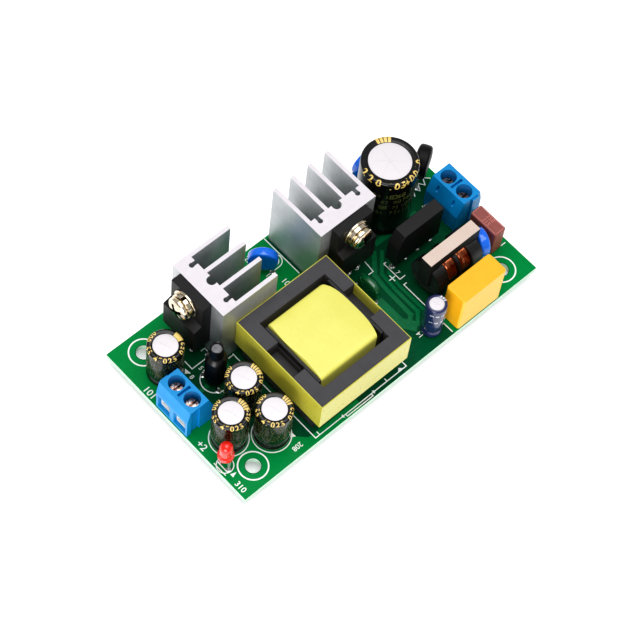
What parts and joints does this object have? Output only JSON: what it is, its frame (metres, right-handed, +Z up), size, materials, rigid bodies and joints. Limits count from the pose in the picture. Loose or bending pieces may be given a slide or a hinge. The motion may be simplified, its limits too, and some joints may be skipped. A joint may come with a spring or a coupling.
{
  "type": "open frame power supply",
  "caption": "Open circuit board power supply with mains and output screw terminals, flat transformer, finned heatsinks and mounting holes.",
  "frame": {"origin": "centre of the four mounting holes on the underside of the board", "axes": "+X along the board from the output terminal to the mains terminal, +Y across it towards the heatsinks, +Z up from the board"},
  "size_m": [0.089, 0.046, 0.0254],
  "materials": {
    "board": "satin green solder mask",
    "terminal_blue": "moulded",
    "tinned": "tinned",
    "screw": "plated",
    "plate": "plated",
    "sink": "mill finish",
    "moulding": "moulded epoxy",
    "fixing": "plated",
    "ferrite": "sintered",
    "bobbin": "moulded",
    "tape": "polyester tape",
    "capacitor": "shrunk sleeve",
    "can": "bare",
    "rod": "ground ferrite",
    "led": "clear",
    "epoxy": "moulded epoxy",
    "choke_core": "coated ferrite",
    "copper": "enamelled wire",
    "film": "moulded box",
    "fuse": "moulded box",
    "thermistor": "dipped",
    "disc": "dipped",
    "green_dip": "dipped"
  },
  "bodies": {
    "board": {"circuit_board": "board", "output_terminal": "terminal_blue", "mains_terminal": "terminal_blue", "terminal_contacts": "tinned", "output_heatsink": "sink", "primary_heatsink": "sink", "heatsink_pegs": "tinned", "power_rectifier": "moulding", "power_transistor": "moulding", "device_leads": "tinned", "device_screws": "fixing", "transformer_core_left": "ferrite", "transformer_core_right": "ferrite", "transformer_bobbin": "bobbin", "transformer_coil": "tape", "transformer_tape": "tape", "transformer_pins": "tinned", "output_capacitor_1": "capacitor", "output_capacitor_2": "capacitor", "output_capacitor_3": "capacitor", "output_capacitor_4": "capacitor", "bulk_capacitor": "can", "bulk_capacitor_sleeve": "capacitor", "supply_capacitor": "capacitor", "rod_choke_core": "rod", "rod_choke_winding": "capacitor", "indicator_light": "led", "bridge_rectifier": "epoxy", "bridge_leads": "tinned", "line_choke_core_left": "choke_core", "line_choke_core_right": "choke_core", "line_choke_bobbin": "bobbin", "line_choke_windings": "copper", "line_choke_pins": "tinned", "box_capacitor": "film", "fuse": "fuse", "inrush_thermistor": "thermistor", "bridging_capacitor": "disc", "line_disc_capacitor": "disc", "rear_disc_capacitor": "disc", "film_capacitor": "green_dip", "radial_leads": "tinned", "controller_chip": "epoxy", "optocoupler": "epoxy", "surface_diodes": "epoxy", "surface_chips": "epoxy"},
    "output_plate_1": {"output_pressure_plate_1": "plate"},
    "output_screw_1_turning": {"output_screw_1": "screw"},
    "output_plate_2": {"output_pressure_plate_2": "plate"},
    "output_screw_2_turning": {"output_screw_2": "screw"},
    "mains_plate_1": {"mains_pressure_plate_1": "plate"},
    "mains_screw_1_turning": {"mains_screw_1": "screw"},
    "mains_plate_2": {"mains_pressure_plate_2": "plate"},
    "mains_screw_2_turning": {"mains_screw_2": "screw"}
  },
  "joints": [
    {"name": "output_plate_1_slide", "type": "slide", "parent": "board", "child": "output_plate_1", "axis": [0, 0, -1], "range_m": [-0.00135, 0.00067]},
    {"name": "output_screw_1_turn", "type": "hinge", "parent": "output_plate_1", "child": "output_screw_1_turning", "pos_m": [-0.04078, -0.00119, 0.0088], "axis": [0, 0, -1], "range_deg": [-1080, 540]},
    {"name": "output_plate_2_slide", "type": "slide", "parent": "board", "child": "output_plate_2", "axis": [0, 0, -1], "range_m": [-0.00135, 0.00067]},
    {"name": "output_screw_2_turn", "type": "hinge", "parent": "output_plate_2", "child": "output_screw_2_turning", "pos_m": [-0.04078, 0.00389, 0.0088], "axis": [0, 0, -1], "range_deg": [-1080, 540]},
    {"name": "mains_plate_1_slide", "type": "slide", "parent": "board", "child": "mains_plate_1", "axis": [0, 0, -1], "range_m": [-0.00135, 0.00067]},
    {"name": "mains_screw_1_turn", "type": "hinge", "parent": "mains_plate_1", "child": "mains_screw_1_turning", "pos_m": [0.04078, 0.00389, 0.0088], "axis": [0, 0, -1], "range_deg": [-1080, 540]},
    {"name": "mains_plate_2_slide", "type": "slide", "parent": "board", "child": "mains_plate_2", "axis": [0, 0, -1], "range_m": [-0.00135, 0.00067]},
    {"name": "mains_screw_2_turn", "type": "hinge", "parent": "mains_plate_2", "child": "mains_screw_2_turning", "pos_m": [0.04078, -0.00119, 0.0088], "axis": [0, 0, -1], "range_deg": [-1080, 540]}
  ],
  "couplings": [
    {"joint": "output_screw_1_turn", "follows": "output_plate_1_slide", "rad_per_m": 13963},
    {"joint": "output_screw_2_turn", "follows": "output_plate_2_slide", "rad_per_m": 13963},
    {"joint": "mains_screw_1_turn", "follows": "mains_plate_1_slide", "rad_per_m": 13963},
    {"joint": "mains_screw_2_turn", "follows": "mains_plate_2_slide", "rad_per_m": 13963}
  ]
}
